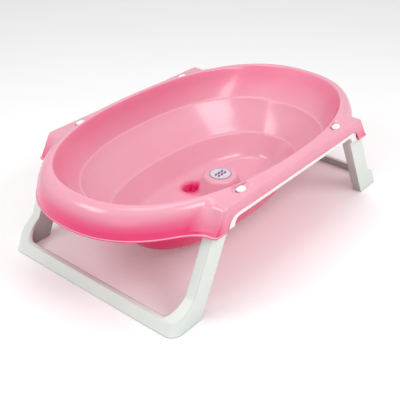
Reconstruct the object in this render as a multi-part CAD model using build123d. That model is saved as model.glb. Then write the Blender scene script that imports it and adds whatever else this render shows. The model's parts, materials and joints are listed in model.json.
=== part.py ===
from build123d import *
import math
import os

# Baby bathtub that stands on two folding U-shaped leg frames.
# Millimetres, +Z up, +X along the tub, origin on the floor under its middle.
# Lengths called "half" run from the middle plane outwards; the tub is the same left and right.

# ---- tub ----------------------------------------------------------------------------------
WALL = 3.0                     # moulded wall
OVAL_POWER = 2.3               # squareness of every oval in plan, 2 is an ellipse
OVAL_POINTS = 48               # points on one oval
WALL_BULGE = 0.55              # how far across its width a wall is at half its height

RIM_Z = 248.0                  # top of the oval rim
RIM_HALF = (403.0, 243.0)      # inner edge of the rim
RIM_LAND = 4.0                 # flat land round the top of the rim
UPPER_STEP_Z = 174.0
UPPER_STEP_HALF = (333.0, 223.0)
LOWER_STEP_Z = 97.0
LOWER_STEP_HALF = (282.0, 155.0)
STEP_WIDTH = 4.0               # the narrow ledge at each step
BASIN_FLOOR_Z = 34.0
BASIN_FLOOR_HALF = (248.0, 120.0)

SKIRT_Z = 186.0                # lower edge of the end skirts and of the hinge hoods
END_SKIRT_HALF = (445.0, 272.0)
DOME_LEVELS = (186.0, 200.0, 214.0, 226.0, 236.0, 243.0, 248.0)
LIP_OUT = 2.5                  # bead along the lower edge
LIP_TALL = 3.5

FLANGE_Z = 241.0               # top of the side flanges
FLANGE_TOP_HALF = (258.0, 265.0)
FLANGE_FOOT_HALF = (292.0, 265.0)
FLANGE_CORNER = 18.0
FLANGE_EDGE = 15.0             # rounding of the flange's top edge
DOME_CLIP = 0.5                # the domed ends stop this far inside the flange's side
SIDE_SKIRT_Z = 217.0           # lower edge of the skirt between the hoods
ARCH_HALF = 250.0              # half length of the gap between the hoods
ARCH_RADIUS = 32.0
ARCH_DEPTH = 20.0

POMMEL_X = 47.0
POMMEL_TOP_Z = 88.0
POMMEL_TOP_RADIUS = 43.0
POMMEL_FOOT_RADIUS = 60.0
POMMEL_EDGE = 9.0

WELL_X = 14.0                  # recess of the drain in the basin floor
WELL_Y = 74.0
WELL_TOP_RADIUS = 18.0
WELL_BASE_RADIUS = 15.0
WELL_BASE_Z = 22.0

# ---- badge on the pommel ------------------------------------------------------------------
BADGE_RADIUS = 25.5
BADGE_RIM_RADIUS = 27.5
BADGE_RECESS = 1.0
BADGE_PROUD = 1.2
BADGE_RIM_STEP = 0.4           # the rim stands above the plate

# ---- drain --------------------------------------------------------------------------------
SEAT_FLANGE_RADIUS = 13.5
SEAT_FLANGE_THICK = 2.5
SEAT_TAIL_RADIUS = 10.5
SEAT_BORE_RADIUS = 8.0
SEAT_TAIL_Z = 8.0
NUT_RADIUS = 17.0
NUT_THICK = 6.0
PLUG_STEM_RADIUS = 6.5
PLUG_STEM_Z = 12.0
PLUG_HEAD_RADIUS = 12.0
PLUG_HEAD_THICK = 3.5
PLUG_HEAD_GAP = 0.3
PLUG_HEAD_EDGE = 1.2
SEAL_RADIUS = 7.9
SEAL_GROOVE_Z = (15.0, 18.0)
SEAL_GROOVE_DEEP = 1.0
PULL_RADIUS = 6.5
PULL_BORE_RADIUS = 3.8
PULL_THICK = 3.0
PULL_SUNK = 1.0                # how far the pull ring reaches into the plug's head

# ---- hinges -------------------------------------------------------------------------------
HINGE_X = 252.0
HINGE_Z = 200.0
PIN_RADIUS = 5.0
PIN_CLEARANCE = 0.06
PIN_HEAD_RADIUS = 8.0
PIN_HEAD_THICK = 2.0
PIN_TAIL = 3.0                 # the pin passes the inner cheek by this much
RETAINER_RADIUS = 9.0
RETAINER_THICK = 1.5

# ---- leg frames ---------------------------------------------------------------------------
LEG_OUTER_Y = 251.6
LEG_THICKNESS = 23.6
LEG_INNER_Y = LEG_OUTER_Y - LEG_THICKNESS
LEG_WALL = 3.0
LEG_SOLE_Z = 1.0               # underside of the plastic, the pads stand out below it
ARM_HALF_WIDTH = 23.3
HEAD_RADIUS = 19.0             # round top of an arm, inside the hood
SHOULDER_Z = 184.0             # above this the arm narrows to its round top
LEAN = 0.48                    # outward travel of the leg for each millimetre down
LEAN_ANGLE = math.atan(LEAN)
FOOT_FRONT_X = 410.0
FLARE_START_Z = 62.0
FLARE_RADIUS = 12.0
CROSSBAR_Z = 27.0
CROSSBAR_DEPTH = 11.0
WINDOW_RADIUS = 30.0
FRAME_CORNER = 25.0
BOSS_RADIUS = 13.0
PAD_LENGTH = 52.0
PAD_WIDTH = 13.0
PAD_THICK = 2.5
PAD_X = 360.0

# ---- side brackets ------------------------------------------------------------------------
BAR_LOW_Z = 204.0
BAR_HIGH_Z = 228.0
BAR_OUTER_Y = 261.5
BAR_END_HALF = 248.5
BAR_END_WIDTH = 22.0           # the ends that turn down beside the hinges
BAR_OUTER_RADIUS = 28.0
BAR_INNER_RADIUS = 17.0
CHEEK_GAP = 0.7
CHEEK_THICK = 5.0
CHEEK_RADIUS = 15.0
CHEEK_OUTER_Y = LEG_OUTER_Y + CHEEK_GAP
CHEEK_INNER_Y = LEG_INNER_Y - CHEEK_GAP
STALK_LOW_X = 234.0
STALK_HIGH_X = 250.0
WEB_LOW_X = 224.0
WEB_HIGH_X = 251.0
WEB_LOW_Z = 226.0
WEB_HIGH_Z = 232.0

CLIP_X = 180.0
CLIP_Y = 240.0
SLOT_LENGTH = 30.0
SLOT_WIDTH = 13.0
SOCKET_LENGTH = 34.0
SOCKET_INNER_Y = 233.0
SOCKET_OUTER_Y = 249.0
SOCKET_LOW_Z = 222.0
CLIP_SHANK_LENGTH = 22.0
CLIP_SHANK_WIDTH = 10.0
CLIP_HEAD_LENGTH = 25.0
CLIP_HEAD_WIDTH = 18.0
CLIP_HEAD_TALL = 4.0
CLIP_BARB = 2.0                # the barbs stand out from the shank by this much
CLIP_BARB_TALL = 4.0
CLIP_SPLIT = 7.0               # gap between the two prongs

FAR = 60.0                     # how far cutting shapes run past what they cut
SIDES = {"front": -1, "rear": 1}
ENDS = {"left": -1, "right": 1}

os.makedirs("parts", exist_ok=True)


# ---- helpers ------------------------------------------------------------------------------
def save(solid, name):
    export_step(solid, f"parts/{name}.step")


def grown(half, distance):
    return (half[0] + distance, half[1] + distance)


def between(low, high, share):
    return tuple(a + (b - a) * share for a, b in zip(low, high))


def oval_wire(z, half):
    """Closed smooth oval of half lengths (along X, along Y) at height z."""
    points = []
    for i in range(OVAL_POINTS):
        angle = 2 * math.pi * i / OVAL_POINTS
        across = abs(math.cos(angle) / half[0]) ** OVAL_POWER
        along = abs(math.sin(angle) / half[1]) ** OVAL_POWER
        radius = (across + along) ** (-1 / OVAL_POWER)
        points.append(Vector(radius * math.cos(angle), radius * math.sin(angle), z))
    return Wire([Edge.make_spline(points, periodic=True)])


def oval_stack(levels):
    """Solid through the ovals given as (z, half lengths), from the lowest to the highest."""
    return Solid.make_loft([oval_wire(z, half) for z, half in levels], ruled=True)


def rod(radius, low, high):
    return Pos(0, 0, (low + high) / 2) * Cylinder(radius, high - low)


def tube(outer, inner, low, high):
    return rod(outer, low, high) - rod(inner, low, high)


def cone_at(x, y, low, high, low_radius, high_radius):
    return Pos(x, y, (low + high) / 2) * Cone(low_radius, high_radius, high - low)


def block(low_x, high_x, low_y, high_y, low_z, high_z):
    middle = Pos((low_x + high_x) / 2, (low_y + high_y) / 2, (low_z + high_z) / 2)
    return middle * Box(high_x - low_x, high_y - low_y, high_z - low_z)


def hinge_rod(radius, y_low, y_high):
    """Round bar on the right hinge's axis."""
    disc = Plane.XZ * Pos(HINGE_X, HINGE_Z) * Circle(radius)
    return Pos(0, y_low, 0) * extrude(disc, amount=-(y_high - y_low))


def side_prism(points, y_low, y_high):
    """Extrude a polygon of (x, z) points from y_low to y_high."""
    face = make_face(Polyline(*[(x, 0, z) for x, z in points], close=True))
    return Pos(0, y_low, 0) * extrude(face, amount=y_high - y_low, dir=(0, 1, 0))


def to_corner(solid, end, side):
    """Copy a solid drawn at the right rear corner to any corner."""
    if end < 0:
        solid = mirror(solid, about=Plane.YZ)
    if side < 0:
        solid = mirror(solid, about=Plane.XZ)
    return solid


# ---- tub ----------------------------------------------------------------------------------
def basin(offset):
    """The oval hollow of the tub, or its outer side when offset by the wall."""
    floor_z = BASIN_FLOOR_Z - offset
    low_z = LOWER_STEP_Z - offset
    high_z = UPPER_STEP_Z - offset
    low_ledge = grown(LOWER_STEP_HALF, STEP_WIDTH)
    high_ledge = grown(UPPER_STEP_HALF, STEP_WIDTH)
    walls = [
        (floor_z, BASIN_FLOOR_HALF, low_z, LOWER_STEP_HALF),
        (low_z, low_ledge, high_z, UPPER_STEP_HALF),
        (high_z, high_ledge, RIM_Z, RIM_HALF),
    ]
    hollow = None
    for foot_z, foot_half, top_z, top_half in walls:
        middle = between(foot_half, top_half, WALL_BULGE)
        wall = oval_stack([
            (foot_z, grown(foot_half, offset)),
            ((foot_z + top_z) / 2, grown(middle, offset)),
            (top_z, grown(top_half, offset)),
        ])
        hollow = wall if hollow is None else hollow + wall
    return hollow


def dome_half(z):
    """Half lengths of the rounded rim's outer side at height z."""
    share = math.sqrt(max(0.0, 1 - ((z - SKIRT_Z) / (RIM_Z - SKIRT_Z)) ** 2))
    return between(grown(RIM_HALF, RIM_LAND), END_SKIRT_HALF, share)


def within_flange(solid, inset):
    """Trim a solid to the width of the side flanges."""
    half_x = END_SKIRT_HALF[0] + FAR
    half_y = FLANGE_FOOT_HALF[1] - DOME_CLIP - inset
    return solid & block(-half_x, half_x, -half_y, half_y, SKIRT_Z - FAR, RIM_Z + FAR)


def flange_plate(z, inset):
    """Outline of the flange and hoods at height z, drawn at z = 0."""
    share = (z - SKIRT_Z) / (FLANGE_Z - SKIRT_Z)
    half = between(FLANGE_FOOT_HALF, FLANGE_TOP_HALF, share)
    return RectangleRounded(2 * (half[0] - inset), 2 * (half[1] - inset), FLANGE_CORNER - inset)


def rim_block(inset):
    """Rim, flanges and skirts as one solid block; inset by the wall it is the space below."""
    below = SKIRT_Z - 2 * inset
    dome = oval_stack([(z - inset, grown(dome_half(z), -inset)) for z in DOME_LEVELS])
    flange = loft([
        Pos(0, 0, below) * flange_plate(below, inset),
        Pos(0, 0, FLANGE_Z - inset) * flange_plate(FLANGE_Z, inset),
    ])
    flange = fillet(flange.edges().group_by(Axis.Z)[-1], FLANGE_EDGE - inset)
    return within_flange(dome, inset) + flange


def lip():
    """Bead that runs round the lower edge of the skirts and hoods."""
    lip_half = grown(END_SKIRT_HALF, LIP_OUT)
    oval = oval_stack([(SKIRT_Z, lip_half), (SKIRT_Z + LIP_TALL, lip_half)])
    plate = Pos(0, 0, SKIRT_Z) * extrude(flange_plate(SKIRT_Z, -LIP_OUT), LIP_TALL)
    return within_flange(oval, -LIP_OUT) + plate


def arch_cut(side):
    """Gap in the side skirt between the hoods, where the bracket shows."""
    y = side * FLANGE_FOOT_HALF[1]
    low_y = y - ARCH_DEPTH / 2
    high_y = y + ARCH_DEPTH / 2
    gap = block(-ARCH_HALF, ARCH_HALF, low_y, high_y, SKIRT_Z - FAR, SIDE_SKIRT_Z)
    return fillet(gap.edges().filter_by(Axis.Y).group_by(Axis.Z)[-1], ARCH_RADIUS)


def clip_slot(end, side):
    """Slot for a clip's shank, with a flat seat for its head."""
    place = Pos(end * CLIP_X, side * CLIP_Y, FLANGE_Z)
    through = extrude(SlotOverall(SLOT_LENGTH, SLOT_WIDTH), amount=FLANGE_EDGE, both=True)
    seat = extrude(SlotOverall(CLIP_HEAD_LENGTH + 1, CLIP_HEAD_WIDTH + 1), amount=FLANGE_EDGE)
    return place * (through + seat)


def tub_shell():
    under_z = BASIN_FLOOR_Z - WALL
    shell = rim_block(0) + lip() - rim_block(WALL)
    shell += basin(WALL)
    shell -= basin(0)
    pommel = cone_at(
        POMMEL_X, 0, under_z, POMMEL_TOP_Z, POMMEL_FOOT_RADIUS, POMMEL_TOP_RADIUS)
    pommel = fillet(pommel.edges().group_by(Axis.Z)[-1], POMMEL_EDGE)
    pommel_under = cone_at(
        POMMEL_X, 0, under_z, POMMEL_TOP_Z - WALL,
        POMMEL_FOOT_RADIUS - WALL, POMMEL_TOP_RADIUS - WALL)
    well_case = cone_at(
        WELL_X, WELL_Y, WELL_BASE_Z - WALL, BASIN_FLOOR_Z,
        WELL_BASE_RADIUS + WALL, WELL_TOP_RADIUS + WALL)
    well = cone_at(
        WELL_X, WELL_Y, WELL_BASE_Z, BASIN_FLOOR_Z, WELL_BASE_RADIUS, WELL_TOP_RADIUS)
    outlet = Pos(WELL_X, WELL_Y, 0) * rod(SEAT_TAIL_RADIUS, SEAT_TAIL_Z, BASIN_FLOOR_Z)
    badge_seat = Pos(POMMEL_X, 0, 0) * rod(
        BADGE_RIM_RADIUS, POMMEL_TOP_Z - BADGE_RECESS, POMMEL_TOP_Z + BADGE_PROUD)
    shell = shell + pommel - pommel_under + well_case - well - outlet - badge_seat
    for side in SIDES.values():
        shell -= arch_cut(side)
        for end in ENDS.values():
            shell -= clip_slot(end, side)
    return shell


# ---- badge --------------------------------------------------------------------------------
def build_badge():
    low = POMMEL_TOP_Z - BADGE_RECESS
    top = POMMEL_TOP_Z + BADGE_PROUD
    place = Pos(POMMEL_X, 0, 0)
    save(place * rod(BADGE_RADIUS, low, top - BADGE_RIM_STEP), "badge_plate")
    save(place * tube(BADGE_RIM_RADIUS, BADGE_RADIUS, low, top), "badge_rim")


# ---- drain --------------------------------------------------------------------------------
def build_drain():
    place = Pos(WELL_X, WELL_Y, 0)
    seat_top = WELL_BASE_Z + SEAT_FLANGE_THICK
    seat = tube(SEAT_FLANGE_RADIUS, SEAT_BORE_RADIUS, WELL_BASE_Z, seat_top)
    seat += tube(SEAT_TAIL_RADIUS, SEAT_BORE_RADIUS, SEAT_TAIL_Z, WELL_BASE_Z)
    save(place * seat, "drain_seat")

    nut_top = WELL_BASE_Z - WALL
    hexagon = RegularPolygon(NUT_RADIUS, 6) - Circle(SEAT_TAIL_RADIUS)
    save(place * Pos(0, 0, nut_top - NUT_THICK) * extrude(hexagon, NUT_THICK), "drain_nut")

    head_low = seat_top + PLUG_HEAD_GAP
    head_top = head_low + PLUG_HEAD_THICK
    groove_radius = PLUG_STEM_RADIUS - SEAL_GROOVE_DEEP
    plug = rod(PLUG_HEAD_RADIUS, head_low, head_top) + rod(PLUG_STEM_RADIUS, PLUG_STEM_Z, head_low)
    plug = fillet(plug.edges().group_by(Axis.Z)[-1], PLUG_HEAD_EDGE)
    plug -= tube(PLUG_STEM_RADIUS + 1, groove_radius, *SEAL_GROOVE_Z)
    ring = Cylinder(PULL_RADIUS, PULL_THICK) - Cylinder(PULL_BORE_RADIUS, PULL_THICK)
    pull = Pos(0, 0, head_top) * Rot(90, 0, 0) * ring
    pull &= rod(PULL_RADIUS + 1, head_top - PULL_SUNK, head_top + PULL_RADIUS + 1)
    save(place * (plug + pull), "drain_plug")
    save(place * tube(SEAL_RADIUS, groove_radius, *SEAL_GROOVE_Z), "plug_seal")


# ---- side brackets ------------------------------------------------------------------------
def bracket_bar():
    """Long rail with rounded ends that turn down beside the hinges, on the +Y side."""
    gap_half = BAR_END_HALF - BAR_END_WIDTH
    bar = block(-BAR_END_HALF, BAR_END_HALF, CHEEK_OUTER_Y, BAR_OUTER_Y, SKIRT_Z, BAR_HIGH_Z)
    bar = fillet(bar.edges().filter_by(Axis.Y).group_by(Axis.Z)[-1], BAR_OUTER_RADIUS)
    gap = block(-gap_half, gap_half, CHEEK_OUTER_Y - 1, BAR_OUTER_Y + 1, SKIRT_Z - FAR, BAR_LOW_Z)
    gap = fillet(gap.edges().filter_by(Axis.Y).group_by(Axis.Z)[-1], BAR_INNER_RADIUS)
    return bar - gap


def hinge_cheeks():
    """The two ears round a leg arm and the web that joins them above it."""
    inner_y = CHEEK_INNER_Y - CHEEK_THICK
    outer_y = CHEEK_OUTER_Y + CHEEK_THICK
    fork = block(WEB_LOW_X, WEB_HIGH_X, inner_y, outer_y, WEB_LOW_Z, WEB_HIGH_Z)
    for y_low, y_high in ((inner_y, CHEEK_INNER_Y), (CHEEK_OUTER_Y, outer_y)):
        fork += hinge_rod(CHEEK_RADIUS, y_low, y_high)
        fork += block(STALK_LOW_X, STALK_HIGH_X, y_low, y_high, HINGE_Z, WEB_HIGH_Z)
    return fork


def clip_socket():
    """Pad under the flange that the clip's shank is pressed into."""
    half = SOCKET_LENGTH / 2
    top = FLANGE_Z - WALL
    low_x = CLIP_X - half
    high_x = CLIP_X + half
    pad = block(low_x, high_x, SOCKET_INNER_Y, SOCKET_OUTER_Y, SOCKET_LOW_Z, top)
    pad += block(low_x, high_x, SOCKET_OUTER_Y, CHEEK_OUTER_Y + 1, SOCKET_LOW_Z, BAR_HIGH_Z)
    return pad - clip_shank(SOCKET_LOW_Z - 1, top + 1)


def clip_shank(low, high):
    outline = SlotOverall(CLIP_SHANK_LENGTH, CLIP_SHANK_WIDTH)
    return Pos(CLIP_X, CLIP_Y, low) * extrude(outline, amount=high - low)


def bracket_clip():
    """Domed head on the flange, shank through the slot and two barbs under the socket."""
    head_outline = SlotOverall(CLIP_HEAD_LENGTH, CLIP_HEAD_WIDTH)
    head = Pos(CLIP_X, CLIP_Y, FLANGE_Z) * extrude(head_outline, amount=CLIP_HEAD_TALL)
    head = fillet(head.edges().group_by(Axis.Z)[-1], CLIP_HEAD_TALL - 0.5)
    barb_low = SOCKET_LOW_Z - CLIP_BARB_TALL
    barb_outline = SlotOverall(CLIP_SHANK_LENGTH + 2 * CLIP_BARB, CLIP_SHANK_WIDTH)
    barb = Pos(CLIP_X, CLIP_Y, barb_low) * extrude(barb_outline, amount=CLIP_BARB_TALL)
    half = CLIP_SPLIT / 2
    split = block(
        CLIP_X - half, CLIP_X + half, CLIP_Y - CLIP_SHANK_WIDTH, CLIP_Y + CLIP_SHANK_WIDTH,
        barb_low - 1, WEB_HIGH_Z)
    return head + clip_shank(barb_low, FLANGE_Z) + barb - split


def build_brackets():
    far_y = CHEEK_OUTER_Y + CHEEK_THICK
    corner = hinge_cheeks() + clip_socket()
    bore = hinge_rod(PIN_RADIUS, 0, far_y + FAR)
    head_room = hinge_rod(PIN_HEAD_RADIUS + 1, far_y, far_y + FAR)
    bar = bracket_bar() - head_room - to_corner(head_room, -1, 1)
    whole = bar + corner + to_corner(corner, -1, 1) - bore - to_corner(bore, -1, 1)
    for side_name, side in SIDES.items():
        save(to_corner(whole, 1, side), f"side_bracket_{side_name}")
        for end_name, end in ENDS.items():
            save(to_corner(bracket_clip(), end, side), f"bracket_clip_{side_name}_{end_name}")


# ---- hinge pins ---------------------------------------------------------------------------
def build_pins():
    head_y = CHEEK_OUTER_Y + CHEEK_THICK
    inner_y = CHEEK_INNER_Y - CHEEK_THICK
    pin = hinge_rod(PIN_RADIUS, inner_y - PIN_TAIL, head_y)
    pin += hinge_rod(PIN_HEAD_RADIUS, head_y, head_y + PIN_HEAD_THICK)
    retainer = hinge_rod(RETAINER_RADIUS, inner_y - RETAINER_THICK, inner_y)
    retainer -= hinge_rod(PIN_RADIUS, inner_y - PIN_TAIL, inner_y)
    for side_name, side in SIDES.items():
        for end_name, end in ENDS.items():
            save(to_corner(pin, end, side), f"hinge_pin_{side_name}_{end_name}")
            save(to_corner(retainer, end, side), f"pin_retainer_{side_name}_{end_name}")


# ---- leg frames ---------------------------------------------------------------------------
def arm_edge_x(z, half_width):
    """X of a line along the arm at height z, half_width ahead of the arm's middle."""
    return HINGE_X + LEAN * (HINGE_Z - z) + half_width / math.cos(LEAN_ANGLE)


def front_x(z):
    """X of the cross bar's front face at height z."""
    return FOOT_FRONT_X - LEAN * z


def arm_solid(inset):
    """Straight arm with a round top and a foot flared forwards, as wide as the whole frame."""
    radius = ARM_HALF_WIDTH - inset
    sole = LEG_SOLE_Z + inset
    bar_z = CROSSBAR_Z - inset
    flare_z = FLARE_START_Z - inset
    head = HEAD_RADIUS - inset
    reach_x = head * math.cos(LEAN_ANGLE)
    reach_z = head * math.sin(LEAN_ANGLE)
    half_y = LEG_OUTER_Y - inset
    blade = side_prism([
        (arm_edge_x(sole, -radius), sole),
        (front_x(sole) - inset, sole),
        (front_x(bar_z) - inset, bar_z),
        (arm_edge_x(flare_z, radius), flare_z),
        (arm_edge_x(SHOULDER_Z, radius), SHOULDER_Z),
        (HINGE_X + reach_x, HINGE_Z + reach_z),
        (HINGE_X - reach_x, HINGE_Z - reach_z),
        (arm_edge_x(SHOULDER_Z, -radius), SHOULDER_Z),
    ], -half_y, half_y)
    knees = [
        edge for edge in blade.edges().filter_by(Axis.Y)
        if bar_z - 1 < edge.center().Z < flare_z + 1 and edge.center().X > arm_edge_x(flare_z, 0)]
    return fillet(knees, FLARE_RADIUS) + hinge_rod(head, -half_y, half_y)


def window(grow):
    """Opening of the U, seen along X, open at the top and with rounded lower corners."""
    half = LEG_INNER_Y + grow
    low = CROSSBAR_Z - grow
    opening = block(HINGE_X - FAR, FOOT_FRONT_X + FAR, -half, half, low, HINGE_Z + FAR)
    corners = opening.edges().filter_by(Axis.X).group_by(Axis.Z)[0]
    return fillet(corners, WINDOW_RADIUS + grow)


def behind_band(grow):
    """Space between the arms behind the band that joins them."""
    depth = CROSSBAR_DEPTH - grow
    flare_x = arm_edge_x(FLARE_START_Z, ARM_HALF_WIDTH)
    top_x = arm_edge_x(HINGE_Z, ARM_HALF_WIDTH)
    half = LEG_INNER_Y + grow
    return side_prism([
        (HINGE_X - FAR, -1),
        (front_x(-1) - depth, -1),
        (front_x(CROSSBAR_Z) - depth, CROSSBAR_Z),
        (flare_x - depth, FLARE_START_Z),
        (top_x - depth, HINGE_Z),
        (HINGE_X - FAR, HINGE_Z),
    ], -half, half)


def corner_prism(inset):
    """Everything within the rounded corners of the frame, seen along its lean."""
    front = FOOT_FRONT_X - inset
    length = front - HINGE_X + 2 * FAR
    outline = RectangleRounded(length, 2 * (LEG_OUTER_Y - inset), FRAME_CORNER - inset)
    plan = Pos(front - length / 2, 0, 0) * outline
    top = HINGE_Z + FAR
    return loft([plan, Pos(-LEAN * top, 0, top) * plan])


def u_frame(inset):
    """Both arms and the cross bar as one body; inset by the wall it is the space inside."""
    return (arm_solid(inset) - window(inset) - behind_band(inset)) & corner_prism(inset)


def foot_pad(side):
    """Rubber strip let into the underside of a foot."""
    y = side * (LEG_OUTER_Y - LEG_THICKNESS / 2)
    return Pos(PAD_X, y, 0) * extrude(SlotOverall(PAD_LENGTH, PAD_WIDTH), amount=PAD_THICK)


def leg_frame():
    """Right leg frame, hollow inside, with a boss round each hinge bore."""
    frame = u_frame(0) - u_frame(LEG_WALL)
    for y_low in (LEG_INNER_Y, -LEG_OUTER_Y):
        frame += hinge_rod(BOSS_RADIUS, y_low, y_low + LEG_THICKNESS)
    for side in SIDES.values():
        frame -= foot_pad(side)
    return frame - hinge_rod(PIN_RADIUS + PIN_CLEARANCE, -LEG_OUTER_Y - 1, LEG_OUTER_Y + 1)


def build_legs():
    frame = leg_frame()
    for end_name, end in ENDS.items():
        save(to_corner(frame, end, 1), f"leg_frame_{end_name}")
        for side_name, side in SIDES.items():
            save(to_corner(foot_pad(side), end, 1), f"foot_pad_{side_name}_{end_name}")


build_badge()
build_drain()
build_brackets()
build_pins()
build_legs()
save(tub_shell(), "tub_shell")
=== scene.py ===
import json
import math
import bmesh
import bpy
import numpy as np
from mathutils import Matrix, Vector


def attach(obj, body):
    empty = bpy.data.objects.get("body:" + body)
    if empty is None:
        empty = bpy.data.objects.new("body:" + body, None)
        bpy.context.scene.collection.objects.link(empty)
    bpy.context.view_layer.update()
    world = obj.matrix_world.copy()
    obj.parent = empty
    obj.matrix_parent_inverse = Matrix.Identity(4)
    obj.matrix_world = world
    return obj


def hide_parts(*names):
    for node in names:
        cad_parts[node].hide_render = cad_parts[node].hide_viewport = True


# The looks of a baby bathtub on two folding leg frames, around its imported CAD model. Metres, +Z up.

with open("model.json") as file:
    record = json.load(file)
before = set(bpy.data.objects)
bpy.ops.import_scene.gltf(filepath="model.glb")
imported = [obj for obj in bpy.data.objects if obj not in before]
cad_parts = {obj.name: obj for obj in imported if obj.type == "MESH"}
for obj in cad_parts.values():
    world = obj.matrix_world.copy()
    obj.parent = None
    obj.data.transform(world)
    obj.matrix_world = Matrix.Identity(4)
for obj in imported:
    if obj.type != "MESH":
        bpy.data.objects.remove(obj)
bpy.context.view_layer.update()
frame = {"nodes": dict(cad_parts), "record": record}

# ---- tub dimensions -------------------------------------------------------------------------
# Those of the CAD, apart from the lip, the flange's edge, the well and the slots, which are a
# little different here.
WALL = 0.003
OVAL_POWER = 2.3
WALL_BULGE = 0.55
RIM_Z = 0.248
RIM_HALF = (0.403, 0.243)
CREST_HALF = (0.407, 0.247)
RIM_LEAD = 0.001               # the wall would meet the rim's plane this far inside RIM_HALF
UPPER_STEP_Z = 0.174
UPPER_STEP_HALF = (0.333, 0.223)
LOWER_STEP_Z = 0.097
LOWER_STEP_HALF = (0.282, 0.155)
STEP_WIDTH = 0.004
STEP_EDGE = 0.0035             # rounding of a ledge's outer edge
STEP_ROOT = 0.003
FLOOR_Z = 0.034
FLOOR_HALF = (0.248, 0.120)
FLOOR_EDGE = 0.018             # rounding where the floor meets the wall
FLAT_MARGIN = 0.004            # flat floor kept beyond each rounding that meets it
CREST_EDGE = 0.010             # rounding where the wall meets the rim
BULGE_EDGE = 0.050             # the wall's swelling is rounded over this length
SKIRT_Z = 0.186
SKIRT_HALF = (0.445, 0.272)
LIP_OUT = 0.0025
LIP_TALL = 0.004
LIP_EDGE = 0.0006              # rounding of the lip's inner corner
# The bead from its top to its foot: shares of LIP_OUT and of LIP_TALL.
LIP_PROFILE = ((0.35, 0.90), (0.85, 0.72), (1.0, 0.48), (0.9, 0.2), (0.6, 0.03), (0.1, 0.0))
ARCH_LIP = 0.35                # share of the lip that is left over the side arches
ARCH_START = 0.001             # an edge higher than this above SKIRT_Z belongs to an arch
FLANGE_Z = 0.241
FLANGE_TOP_X = 0.258
FLANGE_FOOT_X = 0.292
FLANGE_Y = 0.265
FLANGE_EDGE = 0.007
BLEND_HIGH = 0.010             # how softly the domed ends run into the flanges, at their top
BLEND_LOW = 0.042              # and at the lower edge
BLEND_TOP_Z = 0.236            # below this the blend widens
BLEND_DROP = 0.040             # and within this drop it reaches its full width
DOME_DEPTH = 0.035             # typical distance from the dome's core to its skin
SIDE_TRIM = 0.003              # softness of the cut along the flange's side
SIDE_SKIRT_Z = 0.217
ARCH_HALF = 0.250
ARCH_RADIUS = 0.032
POMMEL_X = 0.047
POMMEL_TOP_Z = 0.088
POMMEL_TOP_RADIUS = 0.043
POMMEL_FOOT_RADIUS = 0.060
POMMEL_EDGE = 0.009
POMMEL_ROOT = 0.014
WELL = Vector((0.014, 0.074))
WELL_RADIUS = 0.0185
WELL_SLOPE = 0.009
WELL_DEPTH = 0.012
WELL_LIMIT = 0.020             # only points less than this above the floor sink into the well
BADGE_RADIUS = 0.0276
BADGE_RECESS = 0.001
BADGE_GAP = 0.0002             # the recess widens by this much up to its rim
BADGE_EDGE = 0.0003
CLIP_X = 0.180
CLIP_Y = 0.240
SLOT_LENGTH = 0.032
SLOT_WIDTH = 0.013
SLOT_DEPTH = 0.012             # the slot's cutter reaches this far above and below the flange
DISH_RADIUS = 0.0105           # the shallow seat round a clip's head
DISH_RISE = 0.0012
DISH_EDGE = 0.005
DISH_BLEND = 0.006
UNDER_RIM_Z = 0.236            # the basin's underside ends here
UNDER_RIM_CLEAR = 0.011        # the skirt's inner skin starts this far outside the crest

# ---- mesh density ---------------------------------------------------------------------------
COLUMNS = 720                  # points round the tub
ARCH_COLUMNS = 30              # extra points over each rounded end of the arches
ARCH_MARGINS = (0.004, 0.002)  # how far they go past the rounded end, inwards and outwards
NARROWEST_COLUMN = 0.0004      # radians
CORNER_POINTS = 7              # points on one rounded corner of an outline
POMMEL_SPACING = 0.0022
POMMEL_START = 0.0015          # radius of the innermost ring
FLOOR_ROWS = 52
WALL_SPACING = 0.0045
SKIRT_DIRECTIONS = 220         # rays from the crest's core that find the skirt
SKIRT_HALVINGS = 22
SKIRT_REACH = 0.20
SKIRT_ROWS = 72
INNER_ROWS = 24
SLOT_SIDES = 24
EDGE_PASSES = 4                # rounds that settle where each column meets the lower edge
GRADIENT_STEP = 0.0004
MOST_ROUNDING = 0.49           # share of a straight stretch that one rounded corner may take
SMOOTH_ANGLE = math.radians(35)
TINY = 1e-12

# ---- painted shade on the tub's plastic: (from, to) of each fade ----------------------------
# The first colour is the plastic where lit, the second the deep pink that the painted shade darkens it to.
TUB_LIT = (0.775, 0.370, 0.460, 1)
TUB_SHADED = (0.79, 0.001, 0.140, 1)
TUB_ROUGHNESS = (0.19, 0.24)
RIM_FADE = (0.97, 1.03)        # from inside the rim to outside it
SKIRT_FACING = (0.88, 0.30)    # how much the surface looks up
SKIRT_HEIGHT = (0.246, 0.202)
SKIRT_SHADE = (0.18, 1.0)
SIDE_FADE = (0.260, 0.284)     # from the side skirts to the ends, along X
SIDE_SHADE = (0.50, 0.95)
LEAST_SHADE = 0.09
UNDER_FACING = (0.0, -0.12)
WALL_FACING = (0.95, 0.60)
WALL_HEIGHT = (0.150, 0.225)
WALL_SHADE = 0.42
CREASE_REACH = 0.12
CREASE_OPEN = (0.45, 0.02)
CREASE_HEIGHT = (0.236, 0.150)
# Painted shade round the drain: its middle, and the radii and heights between which it fades out.
DRAIN_SHADE_MIDDLE = Vector((0.020, 0.067))
DRAIN_SHADE_RADIUS = (0.020, 0.042)
DRAIN_SHADE_HEIGHT = (0.040, 0.075)
CLOUDING = 0.03
NOISE_SPAN = (0.3, 0.7)        # nearly all of a noise texture's values lie between these


# ---- mesh helpers ---------------------------------------------------------------------------
def oval_radius(angle, half):
    """Distance from the middle to a rounded oval along a direction."""
    along = np.abs(np.cos(angle) / half[0]) ** OVAL_POWER
    across = np.abs(np.sin(angle) / half[1]) ** OVAL_POWER
    return (along + across) ** (-1 / OVAL_POWER)


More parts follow.
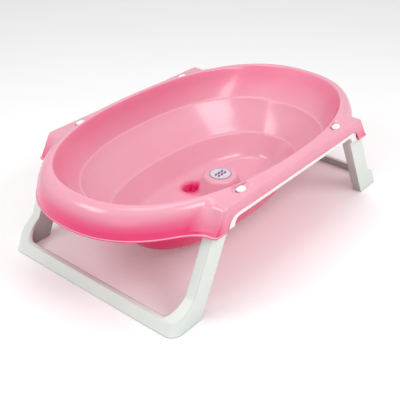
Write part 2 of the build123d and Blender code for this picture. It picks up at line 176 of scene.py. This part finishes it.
def rounded_path(corners, spacing):
    """Points along a polyline of (a, b, z, radius) whose corners are rounded off."""
    points = [np.array(c[:3]) for c in corners]
    out = [points[0]]
    for i in range(1, len(points) - 1):
        before = points[i - 1] - points[i]
        after = points[i + 1] - points[i]
        radius = corners[i][3]
        start = points[i] + before * min(MOST_ROUNDING, radius / np.linalg.norm(before))
        end = points[i] + after * min(MOST_ROUNDING, radius / np.linalg.norm(after))
        for t in np.linspace(0, 1, CORNER_POINTS):
            out.append((1 - t) ** 2 * start + 2 * t * (1 - t) * points[i] + t ** 2 * end)
    out.append(points[-1])
    filled = [out[0]]
    for point in out[1:]:
        steps = max(1, math.ceil(np.linalg.norm(point - filled[-1]) / spacing))
        start = filled[-1]
        filled.extend(start + (point - start) * k / steps for k in range(1, steps + 1))
    return filled


def grid_normals(grid):
    """Unit normals of a grid of rows that close on themselves."""
    down = np.gradient(grid, axis=0)
    round_ = np.roll(grid, -1, axis=1) - np.roll(grid, 1, axis=1)
    normal = np.cross(down, round_)
    return normal / np.maximum(np.linalg.norm(normal, axis=2, keepdims=True), TINY)


def mesh_object(name, vertices, faces, material):
    """A smooth-shaded mesh, linked into the scene."""
    mesh = bpy.data.meshes.new(name)
    mesh.from_pydata(vertices, [], faces)
    mesh.polygons.foreach_set("use_smooth", [True] * len(mesh.polygons))
    mesh.set_sharp_from_angle(angle=SMOOTH_ANGLE)
    mesh.materials.append(material)
    obj = bpy.data.objects.new(name, mesh)
    bpy.context.scene.collection.objects.link(obj)
    return obj


# ---- node helpers ---------------------------------------------------------------------------
class Nodes:
    """A short way to write a material's node tree."""

    def __init__(self, name):
        self.material = bpy.data.materials.new(name)
        self.material.use_nodes = True
        self.tree = self.material.node_tree
        self.shader = self.tree.nodes["Principled BSDF"]

    def add(self, kind, inputs=None, **settings):
        node = self.tree.nodes.new(kind)
        for key, value in settings.items():
            setattr(node, key, value)
        for key, value in (inputs or {}).items():
            self.put(node.inputs[key], value)
        return node

    def put(self, socket, value):
        if isinstance(value, bpy.types.NodeSocket):
            self.tree.links.new(value, socket)
        else:
            socket.default_value = value

    def math(self, operation, first, second=0.0, clamp=False):
        node = self.add("ShaderNodeMath", {0: first, 1: second}, operation=operation, use_clamp=clamp)
        return node.outputs[0]

    def position(self):
        return self.add("ShaderNodeTexCoord").outputs["Object"]

    def split(self, vector):
        outputs = self.add("ShaderNodeSeparateXYZ", {"Vector": vector}).outputs
        return outputs["X"], outputs["Y"], outputs["Z"]

    def facing_up(self):
        return self.split(self.add("ShaderNodeTexCoord").outputs["Normal"])[2]

    def openness(self, reach):
        return self.add("ShaderNodeAmbientOcclusion", {"Distance": reach}, samples=8).outputs["AO"]

    def noise(self, scale, detail=3.0):
        node = self.add("ShaderNodeTexNoise", {
            "Vector": self.position(), "Scale": scale, "Detail": detail})
        return node.outputs["Fac"]

    def remap(self, value, span, to=(0.0, 1.0)):
        node = self.add("ShaderNodeMapRange", {
            "Value": value, "From Min": span[0], "From Max": span[1], "To Min": to[0], "To Max": to[1]})
        return node.outputs["Result"]

    def mix(self, factor, first, second):
        node = self.add("ShaderNodeMix", data_type="RGBA")
        self.put(node.inputs[0], factor)
        self.put(node.inputs[6], first)
        self.put(node.inputs[7], second)
        return node.outputs[2]

    def surface(self, color, roughness, **constants):
        self.put(self.shader.inputs["Base Color"], color)
        self.put(self.shader.inputs["Roughness"], roughness)
        for key, value in constants.items():
            self.shader.inputs[key.replace("_", " ")].default_value = value

    def bump(self, height, strength, distance, edge_radius=0.0):
        node = self.add("ShaderNodeBump", {"Height": height, "Strength": strength, "Distance": distance})
        if edge_radius:
            edge = self.add("ShaderNodeBevel", {"Radius": edge_radius}, samples=6)
            self.put(node.inputs["Normal"], edge.outputs["Normal"])
        self.put(self.shader.inputs["Normal"], node.outputs["Normal"])


def painted_skirt_shade(n, place, outside):
    """Painted shade: the skirts darken downwards and where their faces turn down, less along the sides than
    round the ends.
    """
    x, _, height = place
    skirt = n.remap(height, SKIRT_HEIGHT, SKIRT_SHADE)
    skirt = n.math("MULTIPLY", n.remap(n.facing_up(), SKIRT_FACING), skirt)
    side = n.remap(n.math("ABSOLUTE", x), SIDE_FADE, SIDE_SHADE)
    shade = n.math("MAXIMUM", n.math("MULTIPLY", skirt, side), LEAST_SHADE)
    return n.math("MULTIPLY", shade, outside)


def painted_wall_shade(n, place, outside):
    """Painted shade: the basin's wall darkens a little towards the rim."""
    wall = n.remap(place[2], WALL_HEIGHT, (0.0, WALL_SHADE))
    wall = n.math("MULTIPLY", n.remap(n.facing_up(), WALL_FACING), wall)
    return n.math("MULTIPLY", wall, n.math("SUBTRACT", 1.0, outside))


def painted_hidden_shade(n, place):
    """Painted shade: undersides and deep creases are darkest."""
    crease = n.remap(n.openness(CREASE_REACH), CREASE_OPEN)
    crease_shade = n.math("MULTIPLY", crease, n.remap(place[2], CREASE_HEIGHT))
    return n.math("MAXIMUM", crease_shade, n.remap(n.facing_up(), UNDER_FACING))


def painted_drain_shade(n, place):
    """Painted shade: a dark spot round the drain."""
    x, y, height = place
    along = n.math("POWER", n.math("SUBTRACT", x, DRAIN_SHADE_MIDDLE.x), 2.0)
    across = n.math("POWER", n.math("SUBTRACT", y, DRAIN_SHADE_MIDDLE.y), 2.0)
    away = n.math("SQRT", n.math("ADD", along, across))
    low = n.remap(height, DRAIN_SHADE_HEIGHT, (1.0, 0.0))
    return n.math("MULTIPLY", n.remap(away, DRAIN_SHADE_RADIUS, (1.0, 0.0)), low)


def tub_material():
    """Glossy pink moulded plastic with painted shade: darker down the skirts, high on the basin wall, on
    undersides, in creases and round the drain.
    """
    n = Nodes("tub plastic")
    place = n.split(n.position())
    along = n.math("POWER", n.math("ABSOLUTE", n.math("DIVIDE", place[0], CREST_HALF[0])), OVAL_POWER)
    across = n.math("POWER", n.math("ABSOLUTE", n.math("DIVIDE", place[1], CREST_HALF[1])), OVAL_POWER)
    outside = n.remap(n.math("ADD", along, across), RIM_FADE)
    # The painted shade is the darkest of the skirts', the wall's, the drain's and the hidden places' shade.
    shade = n.math("MAXIMUM", painted_skirt_shade(n, place, outside), painted_wall_shade(n, place, outside))
    shade = n.math("MAXIMUM", n.math("MAXIMUM", shade, painted_drain_shade(n, place)), painted_hidden_shade(n, place))
    cloud = n.remap(n.noise(scale=9.0), NOISE_SPAN, (-CLOUDING, CLOUDING))
    # Painted shade darkens the lit pink towards the shaded pink; the clouding is a faint random tone.
    color = n.mix(n.math("ADD", shade, cloud, clamp=True), TUB_LIT, TUB_SHADED)
    n.surface(color, n.remap(n.noise(scale=38.0), NOISE_SPAN, TUB_ROUGHNESS),
              Coat_Weight=0.26, Coat_Roughness=0.08, Specular_IOR_Level=0.45,
              Subsurface_Weight=0.10, Subsurface_Scale=0.01, Subsurface_Radius=(1.0, 0.25, 0.35))
    n.bump(n.noise(scale=160.0, detail=2.0), strength=0.06, distance=0.0004)
    return n.material


# Painted shade for the white pieces: grey in hollows and under the tub, where light is blocked.
HOLLOW_SHADE_GREY = (0.22, 0.23, 0.22, 1)
HOLLOW_SHADE_REACH = 0.25
HOLLOW_SHADE_OPEN = (0.55, 0.25)       # how open a place is where the painted shade starts and where it is full


def moulded(name, light, dark, rough, edge=0.0012, grain=420.0, strength=0.10, hollow_shade=0.0):
    """Satin moulded plastic or rubber: faint clouding, a fine grain, softened edges, painted shade in
    recesses.
    """
    n = Nodes(name)
    color = n.mix(n.remap(n.noise(scale=14.0, detail=4.0), NOISE_SPAN), light, dark)
    # Painted shade: grey where the place is closed in.
    if hollow_shade:
        color = n.mix(n.remap(n.openness(HOLLOW_SHADE_REACH), HOLLOW_SHADE_OPEN, (0.0, hollow_shade)), color, HOLLOW_SHADE_GREY)
    n.surface(color, n.remap(n.noise(scale=55.0), NOISE_SPAN, (rough - 0.05, rough + 0.06)))
    n.bump(n.noise(grain, detail=2.0), strength, distance=0.0003, edge_radius=edge)
    return n.material


def bracket_material():
    return moulded("bracket plastic", (0.85, 0.86, 0.84, 1), (0.79, 0.81, 0.79, 1), rough=0.36, hollow_shade=0.7)


def leg_material():
    return moulded("leg plastic", (0.74, 0.78, 0.74, 1), (0.70, 0.75, 0.71, 1),
                   rough=0.42, edge=0.003, hollow_shade=0.75)


def clip_material():
    return moulded("clip plastic", (0.84, 0.86, 0.84, 1), (0.80, 0.82, 0.80, 1), rough=0.26, edge=0.0008)


def pad_material():
    return moulded("pad rubber", (0.36, 0.37, 0.36, 1), (0.30, 0.31, 0.31, 1),
                   rough=0.62, edge=0.0006, grain=700.0, strength=0.3)


def badge_rim_material():
    return moulded("badge rim plastic", (0.30, 0.30, 0.34, 1), (0.38, 0.38, 0.42, 1),
                   rough=0.24, edge=0.0004)


# Painted shade: the drain's pieces take the deep pink of the tub's painted shade, so that they sink into
# the painted dark spot round the drain.
def shaded_drain_material():
    return moulded("drain plastic", (0.72, 0.003, 0.12, 1), (0.66, 0.003, 0.10, 1), rough=0.30, edge=0.0005)


def shaded_plug_material():
    return moulded("plug plastic", (0.74, 0.003, 0.13, 1), (0.68, 0.003, 0.11, 1), rough=0.28, edge=0.0006)


def seal_material():
    return moulded("seal rubber", (0.035, 0.035, 0.04, 1), (0.05, 0.05, 0.055, 1), rough=0.6, edge=0.0003)


def steel_material():
    """Turned steel with fine rings round the pin."""
    n = Nodes("pin steel")
    along = n.add("ShaderNodeCombineXYZ", {"Y": n.split(n.position())[1]}).outputs["Vector"]
    streak = n.add("ShaderNodeTexNoise", {"Vector": along, "Scale": 1400.0, "Detail": 2.0}).outputs["Fac"]
    n.surface(n.mix(streak, (0.50, 0.51, 0.53, 1), (0.64, 0.65, 0.67, 1)),
              n.remap(streak, NOISE_SPAN, (0.24, 0.38)), Metallic=1.0)
    n.bump(streak, strength=0.08, distance=0.0002, edge_radius=0.0005)
    return n.material


WAVE_LENGTH = 2 * math.pi / 520
WAVE_SWING = 0.0020            # how far a wave sways to each side
WAVE_OFFSET = 0.0048           # each wave's distance from the badge's middle
WAVE_EDGE = (0.0022, 0.0030)   # half width of its line, and where its soft edge ends
WAVE_END = (0.0165, 0.0175)    # where the lines end, and where their ends have faded out


def badge_material():
    """Pale badge printed with two plain water waves."""
    n = Nodes("badge print")
    x, y, _ = n.split(n.position())
    along = n.math("SUBTRACT", x, POMMEL_X)
    swing = n.math("SINE", n.math("MULTIPLY", along, 2 * math.pi / WAVE_LENGTH))
    across = n.math("SUBTRACT", y, n.math("MULTIPLY", swing, WAVE_SWING))
    folded = n.math("ABSOLUTE", n.math("SUBTRACT", n.math("ABSOLUTE", across), WAVE_OFFSET))
    ends = n.remap(n.math("ABSOLUTE", along), WAVE_END, (1.0, 0.0))
    ink = n.math("MULTIPLY", n.remap(folded, WAVE_EDGE, (1.0, 0.0)), ends)
    paper = n.mix(n.noise(scale=60.0), (0.60, 0.58, 0.66, 1), (0.68, 0.66, 0.73, 1))
    rough = n.remap(n.noise(scale=90.0), NOISE_SPAN, (0.22, 0.30))
    n.surface(n.mix(ink, paper, (0.11, 0.04, 0.13, 1)), rough)
    n.bump(ink, strength=0.25, distance=0.0002, edge_radius=0.0004)
    return n.material


# ---- tub mesh -------------------------------------------------------------------------------
def column_angles():
    """Directions of the grid's columns, closer together at the ends of the side arches."""
    base = np.linspace(0, 2 * math.pi, COLUMNS, endpoint=False)
    first_x = ARCH_HALF - ARCH_RADIUS - ARCH_MARGINS[0]
    extra_x = np.linspace(first_x, ARCH_HALF + ARCH_MARGINS[1], ARCH_COLUMNS)
    corner = np.arctan2(FLANGE_Y, extra_x)
    corners = np.concatenate([corner, math.pi - corner, math.pi + corner, 2 * math.pi - corner])
    angles = np.sort(np.concatenate([base, corners]))
    keep = np.diff(angles, prepend=angles[-1] - 2 * math.pi) > NARROWEST_COLUMN
    return angles[keep]


def oval_row(angles, a, b, z):
    """One ring of points on an oval round the tub's middle."""
    radius = oval_radius(angles, (a, b))
    return np.stack([radius * np.cos(angles), radius * np.sin(angles), np.full_like(angles, z)], axis=1)


def circle_row(angles, radius, z):
    """One ring of points round the pommel."""
    x = POMMEL_X + radius * np.cos(angles)
    return np.stack([x, radius * np.sin(angles), np.full_like(angles, z)], axis=1)


def floor_rows(angles, edge):
    """Pommel, its foot and the basin floor out to the foot of the wall, the drain well sunk in."""
    low = POMMEL_TOP_Z - BADGE_RECESS
    path = rounded_path([
        (POMMEL_START, 0, low, 0),
        (BADGE_RADIUS, 0, low, BADGE_GAP),
        (BADGE_RADIUS + BADGE_GAP, 0, POMMEL_TOP_Z, BADGE_EDGE),
        (POMMEL_TOP_RADIUS, 0, POMMEL_TOP_Z, POMMEL_EDGE),
        (POMMEL_FOOT_RADIUS, 0, FLOOR_Z, POMMEL_ROOT),
        (POMMEL_FOOT_RADIUS + POMMEL_ROOT + FLAT_MARGIN, 0, FLOOR_Z, 0),
    ], POMMEL_SPACING)
    rows = [circle_row(angles, r, z) for r, _, z in path]
    inner = rows[-1]
    for t in np.linspace(0, 1, FLOOR_ROWS)[1:]:
        rows.append(inner + (edge - inner) * t)
    grid = np.array(rows)
    away = np.hypot(grid[..., 0] - WELL.x, grid[..., 1] - WELL.y)
    share = np.clip((WELL_RADIUS + WELL_SLOPE / 2 - away) / WELL_SLOPE, 0, 1)
    sink = WELL_DEPTH * share ** 2 * (3 - 2 * share)
    grid[..., 2] -= np.where(grid[..., 2] < FLOOR_Z + WELL_LIMIT, sink, 0)
    return grid


def wall_rows(angles):
    """Basin wall with its two ledges, from the floor up to the crest of the rim."""
    def ledge(half):
        return (half[0] + STEP_WIDTH, half[1] + STEP_WIDTH)

    def middle(low, high, low_z, high_z):
        share = WALL_BULGE
        a, b = (low[i] + (high[i] - low[i]) * share for i in (0, 1))
        return (a, b, (low_z + high_z) / 2, BULGE_EDGE)

    path = rounded_path([
        (*(half - FLOOR_EDGE - FLAT_MARGIN for half in FLOOR_HALF), FLOOR_Z, 0),
        (*FLOOR_HALF, FLOOR_Z, FLOOR_EDGE),
        middle(FLOOR_HALF, LOWER_STEP_HALF, FLOOR_Z, LOWER_STEP_Z),
        (*LOWER_STEP_HALF, LOWER_STEP_Z, STEP_EDGE),
        (*ledge(LOWER_STEP_HALF), LOWER_STEP_Z, STEP_ROOT),
        middle(ledge(LOWER_STEP_HALF), UPPER_STEP_HALF, LOWER_STEP_Z, UPPER_STEP_Z),
        (*UPPER_STEP_HALF, UPPER_STEP_Z, STEP_EDGE),
        (*ledge(UPPER_STEP_HALF), UPPER_STEP_Z, STEP_ROOT),
        middle(ledge(UPPER_STEP_HALF), RIM_HALF, UPPER_STEP_Z, RIM_Z),
        (*(half - RIM_LEAD for half in RIM_HALF), RIM_Z, CREST_EDGE),
        (*CREST_HALF, RIM_Z, 0),
    ], WALL_SPACING)
    return np.array([oval_row(angles, a, b, z) for a, b, z in path])


def smooth_min(first, second, size):
    """The smaller of two distances, blended where they are closer than size."""
    blend = np.maximum(size - np.abs(first - second), 0) / size
    return np.minimum(first, second) - blend ** 2 * size / 4


def rim_distance(p):
    """Below zero inside the solid made of the domed ends, the side flanges and the hoods."""
    x, y, z = (np.abs(p[..., i]) for i in range(3))
    angle = np.arctan2(y, x)
    crest = oval_radius(angle, CREST_HALF)
    out = (np.hypot(x, y) - crest) / (oval_radius(angle, SKIRT_HALF) - crest)
    up = (z - SKIRT_Z) / (RIM_Z - SKIRT_Z)
    dome = (np.hypot(np.maximum(out, 0), up) - 1) * DOME_DEPTH
    slope = (FLANGE_FOOT_X - FLANGE_TOP_X) / (FLANGE_Z - SKIRT_Z)
    end_x = FLANGE_FOOT_X - slope * (z - SKIRT_Z)
    sides = [(x - end_x) / math.hypot(1, slope), y - FLANGE_Y, z - FLANGE_Z]
    lifted = [side + FLANGE_EDGE for side in sides]
    outer = np.sqrt(sum(np.maximum(side, 0) ** 2 for side in lifted))
    flange = outer - FLANGE_EDGE + np.minimum(np.maximum.reduce(lifted), 0)
    low = np.clip((BLEND_TOP_Z - z) / BLEND_DROP, 0, 1)
    solid = smooth_min(dome, flange, BLEND_HIGH + (BLEND_LOW - BLEND_HIGH) * low)
    return -smooth_min(-solid, FLANGE_Y - y, SIDE_TRIM)


def clip_dish(p):
    """Below zero in the shallow round-edged seat that each clip's head sits in."""
    reach = (SLOT_LENGTH - SLOT_WIDTH) / 2
    x = np.maximum(np.abs(np.abs(p[..., 0]) - CLIP_X) - reach, 0)
    y = np.abs(p[..., 1]) - CLIP_Y
    wide = np.hypot(x, y) - DISH_RADIUS
    return np.maximum(wide, FLANGE_Z - p[..., 2])


def outer_distance(p):
    """Below zero inside the outer solid with the clips' seats taken out."""
    return -smooth_min(-rim_distance(p), clip_dish(p) + DISH_RISE, DISH_BLEND)


def gradient(p, step=GRADIENT_STEP):
    """Unit direction in which the outer skin's distance grows."""
    slopes = []
    for axis in range(3):
        shift = np.zeros(3)
        shift[axis] = step
        slopes.append(outer_distance(p + shift) - outer_distance(p - shift))
    normal = np.stack(slopes, axis=-1)
    return normal / np.maximum(np.linalg.norm(normal, axis=-1, keepdims=True), TINY)


def low_edge(x):
    """Height of the skirt's lower edge: high over the side arches, low at the hoods and ends."""
    inside = np.clip((np.abs(x) - (ARCH_HALF - ARCH_RADIUS)) / ARCH_RADIUS, 0, 1)
    arch = SIDE_SKIRT_Z - ARCH_RADIUS * (1 - np.sqrt(1 - inside ** 2))
    return np.where(np.abs(x) < ARCH_HALF, np.maximum(arch, SKIRT_Z), SKIRT_Z)


def skirt_sections(angles):
    """For every column, points from the crest over the rim down to the lowest edge of the skirt."""
    core = oval_row(angles, *CREST_HALF, SKIRT_Z)
    normal = np.stack([
        np.sign(core[:, 0]) * np.abs(core[:, 0] / CREST_HALF[0]) ** (OVAL_POWER - 1) / CREST_HALF[0],
        np.sign(core[:, 1]) * np.abs(core[:, 1] / CREST_HALF[1]) ** (OVAL_POWER - 1) / CREST_HALF[1],
        np.zeros(len(angles))], axis=1)
    normal /= np.linalg.norm(normal, axis=1, keepdims=True)
    tilt = np.linspace(0, math.pi / 2, SKIRT_DIRECTIONS)[None, :, None]
    ray = np.sin(tilt) * normal[:, None, :] + np.cos(tilt) * np.array([0, 0, 1.0])
    near = np.zeros(ray.shape[:2] + (1,))
    far = np.full_like(near, SKIRT_REACH)
    for _ in range(SKIRT_HALVINGS):
        half = (near + far) / 2
        inside = rim_distance(core[:, None, :] + half * ray)[..., None] < 0
        near = np.where(inside, half, near)
        far = np.where(inside, far, half)
    hit = core[:, None, :] + near * ray
    hit[..., 2] = np.minimum(hit[..., 2], RIM_Z)
    return hit


def resample(section, shares, stop_z):
    """Points at shares of the section's length from the crest down to stop_z."""
    length = np.concatenate([[0], np.cumsum(np.linalg.norm(np.diff(section, axis=0), axis=1))])
    stop = np.interp(-stop_z, -section[:, 2], length)
    return np.stack([np.interp(shares * stop, length, section[:, i]) for i in range(3)], axis=1)


def outer_rows(angles):
    """Outer skin, then the bead along its lower edge, then the inner skin back up under the rim."""
    sections = skirt_sections(angles)
    edge_x = sections[:, -1, 0]
    for _ in range(EDGE_PASSES):
        edge_z = low_edge(edge_x)
        edge_x = np.array([np.interp(-z, -s[:, 2], s[:, 0]) for s, z in zip(sections, edge_z)])
    shares = np.linspace(0, 1, SKIRT_ROWS)[1:]
    outer = np.stack([
        resample(s, shares, z + LIP_TALL) for s, z in zip(sections, edge_z)], axis=1)
    dish = clip_dish(outer)
    carve = -smooth_min(-dish, np.zeros_like(dish), DISH_EDGE)
    top = outer[..., 2]
    seat = FLANGE_Z + np.maximum(top - FLANGE_Z, 0) * np.clip(carve / DISH_BLEND, 0, 1)
    outer[..., 2] = np.where((top > FLANGE_Z) & (dish < DISH_BLEND), np.minimum(top, seat), top)

    foot = np.array([resample(s, np.array([1.0]), z)[0] for s, z in zip(sections, edge_z)])
    shoulder = outer[-1]
    face = gradient(shoulder)
    face[:, 2] = 0
    face /= np.linalg.norm(face, axis=1, keepdims=True)
    bead = np.where(edge_z < SKIRT_Z + ARCH_START, 1.0, ARCH_LIP)[:, None]
    lip = []
    for out, up in LIP_PROFILE:
        base = foot + (shoulder - foot) * up
        lip.append(base + face * LIP_OUT * bead * out)
    lip.append(foot - face * (WALL - LIP_EDGE))
    lip.append(foot - face * WALL + np.array([0, 0, LIP_EDGE]))

    inner = []
    under = outer - WALL * gradient(outer)
    clear = np.hypot(outer[..., 0], outer[..., 1]) - oval_radius(angles, CREST_HALF)[None, :]
    start = np.argmax(clear > UNDER_RIM_CLEAR, axis=0)
    last = len(outer) - 1
    columns = np.arange(len(angles))
    for share in np.linspace(0, 1, INNER_ROWS):
        row = np.round(last + (start - last) * share).astype(int)
        inner.append(under[row, columns])
    return np.concatenate([outer, np.array(lip), np.array(inner)])


def tub_grid():
    """All rows of the skin, from the pommel over the rim and back under the basin."""
    angles = column_angles()
    wall = wall_rows(angles)
    floor = floor_rows(angles, wall[0])
    top = np.concatenate([floor, wall[1:]])
    normals = grid_normals(top)
    if normals[len(floor) // 2, 0, 2] < 0:
        normals = -normals
    below = top - WALL * normals
    keep = [i for i in range(len(top)) if i < len(floor) or top[i, 0, 2] < UNDER_RIM_Z]
    keep = keep[::-1]
    keep = keep[:1] + keep[1:-1:2] + keep[-1:]
    return np.concatenate([top, outer_rows(angles), below[keep]])


def build_tub(material):
    """One closed skin, 3 mm thick, without the clips' slots."""
    grid = tub_grid()
    rows, columns = grid.shape[:2]
    index = np.arange(rows * columns).reshape(rows, columns)
    right = np.roll(index, -1, axis=1)
    quads = np.stack([index[:-1], index[1:], right[1:], right[:-1]], axis=-1).reshape(-1, 4)
    vertices = [tuple(v) for v in grid.reshape(-1, 3)]
    faces = [tuple(q) for q in quads.tolist()]
    vertices.append((POMMEL_X, 0, grid[0, 0, 2]))
    vertices.append((POMMEL_X, 0, grid[-1, 0, 2]))
    top_middle, low_middle = len(vertices) - 2, len(vertices) - 1
    faces += [(top_middle, int(index[0, j]), int(right[0, j])) for j in range(columns)]
    faces += [(low_middle, int(right[-1, j]), int(index[-1, j])) for j in range(columns)]
    tub = mesh_object("tub", vertices, faces, material)
    solid = bmesh.new()
    solid.from_mesh(tub.data)
    bmesh.ops.recalc_face_normals(solid, faces=solid.faces)
    solid.to_mesh(tub.data)
    solid.free()
    tub.data.set_sharp_from_angle(angle=SMOOTH_ANGLE)
    return tub


def slot_cutter():
    """Four long holes with round ends."""
    cutter = bmesh.new()
    reach = (SLOT_LENGTH - SLOT_WIDTH) / 2
    for end in (-1, 1):
        for side in (-1, 1):
            ring = []
            for step in range(SLOT_SIDES):
                angle = 2 * math.pi * (step + 0.5) / SLOT_SIDES
                x = SLOT_WIDTH / 2 * math.cos(angle) + math.copysign(reach, math.cos(angle))
                y = SLOT_WIDTH / 2 * math.sin(angle)
                ring.append((end * CLIP_X + x, side * CLIP_Y + y))
            low = [cutter.verts.new((x, y, FLANGE_Z - SLOT_DEPTH)) for x, y in ring]
            high = [cutter.verts.new((x, y, FLANGE_Z + SLOT_DEPTH)) for x, y in ring]
            cutter.faces.new(low[::-1])
            cutter.faces.new(high)
            for i in range(SLOT_SIDES):
                cutter.faces.new((low[i - 1], low[i], high[i], high[i - 1]))
    mesh = bpy.data.meshes.new("slots")
    cutter.to_mesh(mesh)
    cutter.free()
    obj = bpy.data.objects.new("slots", mesh)
    bpy.context.scene.collection.objects.link(obj)
    return obj


def cut_slots(tub):
    """Cuts the clips' slots out of the tub's mesh."""
    cutter = slot_cutter()
    cut = tub.modifiers.new("slots", "BOOLEAN")
    cut.operation = "DIFFERENCE"
    cut.solver = "FAST"
    cut.object = cutter
    graph = bpy.context.evaluated_depsgraph_get()
    result = bpy.data.meshes.new_from_object(tub.evaluated_get(graph))
    tub.modifiers.clear()
    tub.data = result
    bpy.data.objects.remove(cutter)


# ---- materials on the pieces ----------------------------------------------------------------
finishes = {
    "white_plastic": bracket_material(),
    "leg_plastic": leg_material(),
    "clip_plastic": clip_material(),
    "steel": steel_material(),
    "pad_rubber": pad_material(),
    "badge_white": badge_material(),
    "badge_grey": badge_rim_material(),
    "drain_plastic": shaded_drain_material(),
    "plug_plastic": shaded_plug_material(),
    "seal_rubber": seal_material(),
}
for part in frame["record"]["subparts"]:
    finish = finishes.get(part["material_slot"])
    if finish:
        node = frame["nodes"][part["node"]]
        node.data.materials.clear()
        node.data.materials.append(finish)

tub = build_tub(tub_material())
cut_slots(tub)
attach(tub, "tub")
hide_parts("tub_shell")


# ---- floor, light and camera ----------------------------------------------------------------
FLOOR_REACH = 6.0              # half width of the studio floor
FLOOR_GLOW = 0.09
SKY = 0.64                     # strength of the light from all round


def build_floor():
    n = Nodes("studio floor")
    n.surface(n.mix(n.noise(scale=3.0), (0.88, 0.88, 0.88, 1), (0.92, 0.92, 0.92, 1)), 0.85,
              Emission_Color=(1, 1, 1, 1), Emission_Strength=FLOOR_GLOW)
    n.material.cycles.emission_sampling = "NONE"
    corners = [(x * FLOOR_REACH, y * FLOOR_REACH, 0) for x, y in ((-1, -1), (1, -1), (1, 1), (-1, 1))]
    floor = mesh_object("floor", corners, [(0, 1, 2, 3)], n.material)


def area_light(name, place, target, wide, tall, power):
    """A rectangular light at place, facing target."""
    data = bpy.data.lights.new(name, "AREA")
    data.shape = "RECTANGLE"
    data.size = wide
    data.size_y = tall
    data.energy = power
    light = bpy.data.objects.new(name, data)
    bpy.context.scene.collection.objects.link(light)
    light.location = place
    light.rotation_euler = (Vector(target) - Vector(place)).to_track_quat("-Z", "Y").to_euler()


def build_light():
    world = bpy.data.worlds.new("studio")
    world.use_nodes = True
    sky = world.node_tree.nodes["Background"]
    sky.inputs["Color"].default_value = (1, 1, 1, 1)
    sky.inputs["Strength"].default_value = SKY
    bpy.context.scene.world = world
    area_light("top", place=(0.0, 0.0, 2.3), target=(0, 0, 0.1), wide=1.4, tall=1.2, power=12)
    area_light("front box", place=(0.08, -1.38, 1.45), target=(0.1, 0.1, 0.15),
               wide=1.05, tall=0.55, power=11.5)
    area_light("left box", place=(-1.22, 0.60, 1.42), target=(0.2, 0, 0.15),
               wide=0.75, tall=0.50, power=6.5)
    area_light("fill", place=(-2.3, -0.9, 0.8), target=(0, 0, 0.1), wide=1.2, tall=1.0, power=3)


AZIMUTH = math.radians(-51.07)
ELEVATION = math.radians(32.13)
CAMERA_DISTANCE = 1.912
CAMERA_TARGET = Vector((0.0662, 0.0009, 0.0))
SENSOR_WIDTH = 36.0
LENS = 66.60
SHIFT = (-0.0625, 0.0005)


def build_camera():
    data = bpy.data.cameras.new("camera")
    data.sensor_width = SENSOR_WIDTH
    data.lens = LENS
    data.shift_x, data.shift_y = SHIFT
    camera = bpy.data.objects.new("camera", data)
    bpy.context.scene.collection.objects.link(camera)
    back = Vector((
        math.sin(AZIMUTH) * math.cos(ELEVATION),
        -math.cos(AZIMUTH) * math.cos(ELEVATION),
        math.sin(ELEVATION)))
    right = Vector((math.cos(AZIMUTH), math.sin(AZIMUTH), 0))
    up = back.cross(right)
    turn = Matrix((right, up, back)).transposed().to_4x4()
    camera.matrix_world = Matrix.Translation(CAMERA_TARGET + back * CAMERA_DISTANCE) @ turn
    bpy.context.scene.camera = camera


bpy.context.scene.view_settings.view_transform = "Standard"
build_floor()
build_light()
build_camera()
bpy.context.view_layer.update()
